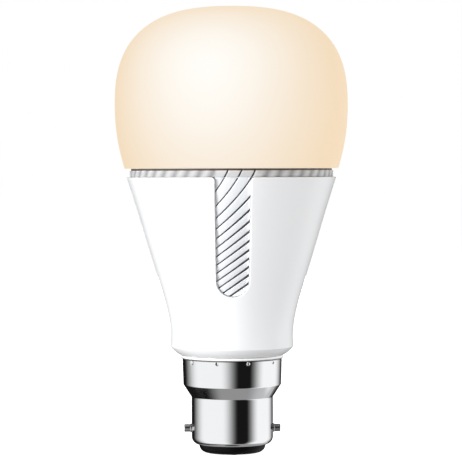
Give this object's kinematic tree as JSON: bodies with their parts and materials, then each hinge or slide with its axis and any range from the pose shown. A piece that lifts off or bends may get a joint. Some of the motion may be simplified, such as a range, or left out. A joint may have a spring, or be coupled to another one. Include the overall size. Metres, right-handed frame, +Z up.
{
  "type": "smart light bulb",
  "caption": "Dimmable wireless LED lamp with an opal globe, a white conical sleeve with ribbed windows and a B22d bayonet cap.",
  "frame": {"origin": "centre of the cap's contact plane, on the lamp's axis", "axes": "+Z up the lamp's axis to the top of the globe, +X along the bayonet pins, -Y towards the front window"},
  "size_m": [0.0628, 0.0628, 0.1204],
  "materials": {
    "opal_plastic": "satin opal, lit warm white from inside",
    "white_plastic": "smooth satin white",
    "rib_plastic": "moulded ribs, light grey-white",
    "case_plastic": "moulded white",
    "nickel_plate": "bright nickel plate",
    "pin_metal": "nickel-plated brass",
    "black_insulator": "glossy black",
    "contact_metal": "tinned brass",
    "brown_insulation": "wire insulation",
    "blue_insulation": "wire insulation",
    "silicone": "soft translucent grey",
    "spreader_aluminium": "stamped, bare",
    "pad_grey": "filled silicone",
    "white_mask": "white solder mask",
    "led_body": "white moulding",
    "phosphor": "yellow gel, lit",
    "screw_steel": "zinc plated",
    "connector_plastic": "moulded nylon",
    "gold_pins": "gold flash",
    "green_board": "green solder mask",
    "resistor_body": "lacquered",
    "varistor_coat": "dipped epoxy",
    "ferrite": "sintered, dark grey",
    "copper_wire": "enamelled copper",
    "film_box": "moulded box",
    "can_sleeve": "shrunk sleeve",
    "chip_black": "moulded epoxy",
    "chip_ceramic": "fired ceramic",
    "bobbin_plastic": "phenolic",
    "winding_tape": "yellow polyester tape",
    "module_board": "dark blue solder mask",
    "shield_tin": "tinned steel"
  },
  "bodies": {
    "root": {"diffuser": "opal_plastic", "diffuser_seal": "silicone", "outer_sleeve": "white_plastic", "ribbed_core": "rib_plastic", "driver_case": "case_plastic", "cap_shell": "nickel_plate", "bayonet_pin_left": "pin_metal", "bayonet_pin_right": "pin_metal", "cap_insulator": "black_insulator", "contact_live": "contact_metal", "contact_neutral": "contact_metal", "live_lead": "brown_insulation", "neutral_lead": "blue_insulation", "heat_spreader_cup": "spreader_aluminium", "led_plate": "spreader_aluminium", "thermal_pad": "pad_grey", "led_board": "white_mask", "led_packages": "led_body", "led_phosphors": "phosphor", "led_board_screws": "screw_steel", "led_connector": "connector_plastic", "output_header": "gold_pins", "driver_board": "green_board", "fuse_resistor": "resistor_body", "surge_varistor": "varistor_coat", "input_choke_core": "ferrite", "input_choke_winding": "copper_wire", "film_capacitor": "film_box", "bulk_capacitor": "can_sleeve", "output_capacitor": "can_sleeve", "bridge_rectifier": "chip_black", "driver_ic": "chip_black", "power_transistor": "chip_black", "output_diode": "chip_black", "transformer_core": "ferrite", "transformer_bobbin": "bobbin_plastic", "transformer_winding": "winding_tape", "chip_resistors": "chip_black", "chip_capacitors": "chip_ceramic", "module_header": "gold_pins", "wireless_module": "module_board", "wireless_shield": "shield_tin", "wireless_antenna": "gold_pins"}
  },
  "joints": []
}
